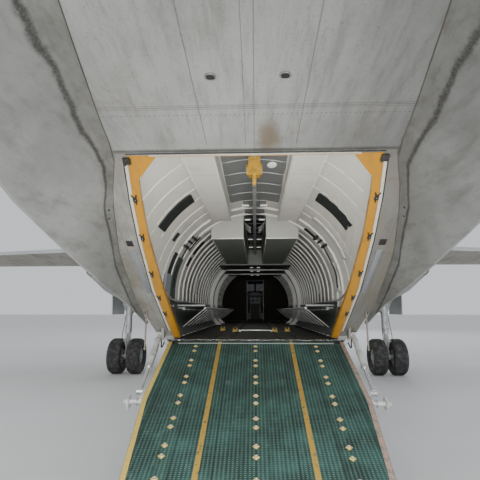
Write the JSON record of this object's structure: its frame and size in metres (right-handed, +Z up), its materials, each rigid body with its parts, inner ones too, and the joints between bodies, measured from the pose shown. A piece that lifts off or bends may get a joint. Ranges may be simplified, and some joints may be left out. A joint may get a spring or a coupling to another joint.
{
  "type": "military transport plane",
  "caption": "High-wing turboprop military transport plane on its landing gear with the rear cargo ramp lowered between ventral strakes and a hollow cargo hold.",
  "frame": {"origin": "on the ground under the middle of the plane's overall box", "axes": "+Y to the nose, +X to the right wing tip, +Z up; the span lies along X"},
  "size_m": [29.2, 23.8, 8.575],
  "materials": {
    "skin": "satin pale grey paint with dirt streaks",
    "belly": "satin grey paint",
    "radome": "painted moulding",
    "glass": "clear laminated panes",
    "floor": "dark olive anti-slip paint",
    "cockpit": "dark grey paint",
    "seat": "dark green woven cover",
    "amber": "amber paint, worn",
    "hoist": "yellow paint",
    "deck": "dark teal anti-slip paint",
    "steel": "machined and painted steel",
    "blade": "matt dark paint",
    "tyre": "grooved tread",
    "hub": "grey paint",
    "engine": "bare metal"
  },
  "bodies": {
    "airframe": {"hold_roof": "skin", "hold_side_left": "skin", "hold_side_right": "skin", "cockpit_shell_left": "skin", "cockpit_shell_right": "skin", "crew_door": "skin", "tail_roof": "skin", "tail_side_left": "skin", "tail_side_right": "skin", "tail_cone": "skin", "strake_left": "skin", "strake_right": "skin", "wing_center": "skin", "wing_left": "skin", "wing_right": "skin", "flap_left": "skin", "flap_right": "skin", "nacelle_left": "skin", "nacelle_right": "skin", "tailplane": "skin", "fin": "skin", "fuselage_belly": "belly", "nose_radome": "radome", "cockpit_glass": "glass", "cargo_floor": "floor", "cockpit_floor": "cockpit", "pilot_seat_left": "seat", "pilot_seat_right": "seat", "bench_left": "seat", "bench_right": "seat", "hatch_frame": "amber", "hoist_rail": "hoist", "main_leg_left": "steel", "main_leg_right": "steel", "nose_leg_housing": "steel", "engine_left": "engine", "engine_right": "engine"},
    "propeller_left": {"propeller_left": "blade"},
    "propeller_right": {"propeller_right": "blade"},
    "main_wheels_left": {"main_hubs_left": "hub", "main_tyre_left_inner": "tyre", "main_tyre_left_outer": "tyre"},
    "main_wheels_right": {"main_hubs_right": "hub", "main_tyre_right_inner": "tyre", "main_tyre_right_outer": "tyre"},
    "nose_steering": {"nose_leg": "steel"},
    "nose_wheels": {"nose_hubs": "hub", "nose_tyre_left": "tyre", "nose_tyre_right": "tyre"},
    "aileron_left": {"aileron_left": "skin"},
    "aileron_right": {"aileron_right": "skin"},
    "elevator_left": {"elevator_left": "skin"},
    "elevator_right": {"elevator_right": "skin"},
    "rudder": {"rudder": "skin"},
    "ramp": {"ramp_deck": "deck"},
    "ramp_barrel_left": {"ramp_barrel_left": "steel"},
    "ramp_barrel_right": {"ramp_barrel_right": "steel"},
    "ramp_rod_left": {"ramp_rod_left": "steel"},
    "ramp_rod_right": {"ramp_rod_right": "steel"},
    "hoist": {"hoist": "hoist"}
  },
  "joints": [
    {"name": "propeller_left_spin", "type": "hinge", "parent": "airframe", "child": "propeller_left", "pos_m": [-3.95, 6.4, 3.177], "axis": [0, 1, 0], "continuous": true},
    {"name": "main_wheels_left_roll", "type": "hinge", "parent": "airframe", "child": "main_wheels_left", "pos_m": [-3.95, 1.95, 0.525], "axis": [1, 0, 0], "continuous": true},
    {"name": "propeller_right_spin", "type": "hinge", "parent": "airframe", "child": "propeller_right", "pos_m": [3.95, 6.4, 3.177], "axis": [0, 1, 0], "continuous": true},
    {"name": "main_wheels_right_roll", "type": "hinge", "parent": "airframe", "child": "main_wheels_right", "pos_m": [3.95, 1.95, 0.525], "axis": [1, 0, 0], "continuous": true},
    {"name": "nose_steer", "type": "hinge", "parent": "airframe", "child": "nose_steering", "pos_m": [0, 9.6, 0.76], "axis": [0, 0, 1], "range_deg": [-45, 45]},
    {"name": "nose_wheels_roll", "type": "hinge", "parent": "nose_steering", "child": "nose_wheels", "pos_m": [0, 9.6, 0.35], "axis": [1, 0, 0], "continuous": true},
    {"name": "aileron_right_tilt", "type": "hinge", "parent": "airframe", "child": "aileron_right", "pos_m": [9.308, 1.1238, 3.4642], "axis": [0.9995, 0.0022, -0.0323], "range_deg": [-20, 20]},
    {"name": "aileron_left_tilt", "type": "hinge", "parent": "airframe", "child": "aileron_left", "pos_m": [-9.308, 1.1238, 3.4642], "axis": [0.9995, -0.0022, 0.0323], "range_deg": [-20, 20]},
    {"name": "elevator_right_tilt", "type": "hinge", "parent": "airframe", "child": "elevator_right", "pos_m": [0.7, -10.6803, 3.6309], "axis": [0.9868, -0.0428, 0.1563], "range_deg": [-30, 15]},
    {"name": "elevator_left_tilt", "type": "hinge", "parent": "airframe", "child": "elevator_left", "pos_m": [-0.7, -10.6803, 3.6309], "axis": [0.9868, 0.0428, -0.1563], "range_deg": [-30, 15]},
    {"name": "rudder_turn", "type": "hinge", "parent": "airframe", "child": "rudder", "pos_m": [0, -10.0555, 4.23], "axis": [0, -0.2662, 0.9639], "range_deg": [-25, 25]},
    {"name": "ramp_tilt", "type": "hinge", "parent": "airframe", "child": "ramp", "pos_m": [0, -5, 1.425], "axis": [-1, 0, 0], "range_deg": [-5.5, 49.8]},
    {"name": "ramp_barrel_left_tilt", "type": "hinge", "parent": "airframe", "child": "ramp_barrel_left", "pos_m": [-1.27, -5.25, 1.572], "axis": [-1, 0, 0], "range_deg": [-7, 62.5]},
    {"name": "ramp_rod_left_slide", "type": "slide", "parent": "ramp_barrel_left", "child": "ramp_rod_left", "axis": [0, -0.8218, -0.5697], "range_m": [-0.138, 0.0153]},
    {"name": "ramp_barrel_right_tilt", "type": "hinge", "parent": "airframe", "child": "ramp_barrel_right", "pos_m": [1.27, -5.25, 1.572], "axis": [-1, 0, 0], "range_deg": [-7, 62.5]},
    {"name": "ramp_rod_right_slide", "type": "slide", "parent": "ramp_barrel_right", "child": "ramp_rod_right", "axis": [0, -0.8218, -0.5697], "range_m": [-0.138, 0.0153]},
    {"name": "hoist_travel", "type": "slide", "parent": "airframe", "child": "hoist", "axis": [0, 1, 0], "range_m": [-0.12, 6.9]}
  ],
  "couplings": [
    {"joint": "aileron_left_tilt", "follows": "aileron_right_tilt", "ratio": -1},
    {"joint": "elevator_left_tilt", "follows": "elevator_right_tilt", "ratio": 1},
    {"joint": "ramp_barrel_left_tilt", "follows": "ramp_tilt", "ratio": 1.2511},
    {"joint": "ramp_rod_left_slide", "follows": "ramp_tilt", "m_per_rad": -0.1582},
    {"joint": "ramp_barrel_right_tilt", "follows": "ramp_tilt", "ratio": 1.2511},
    {"joint": "ramp_rod_right_slide", "follows": "ramp_tilt", "m_per_rad": -0.1582}
  ]
}
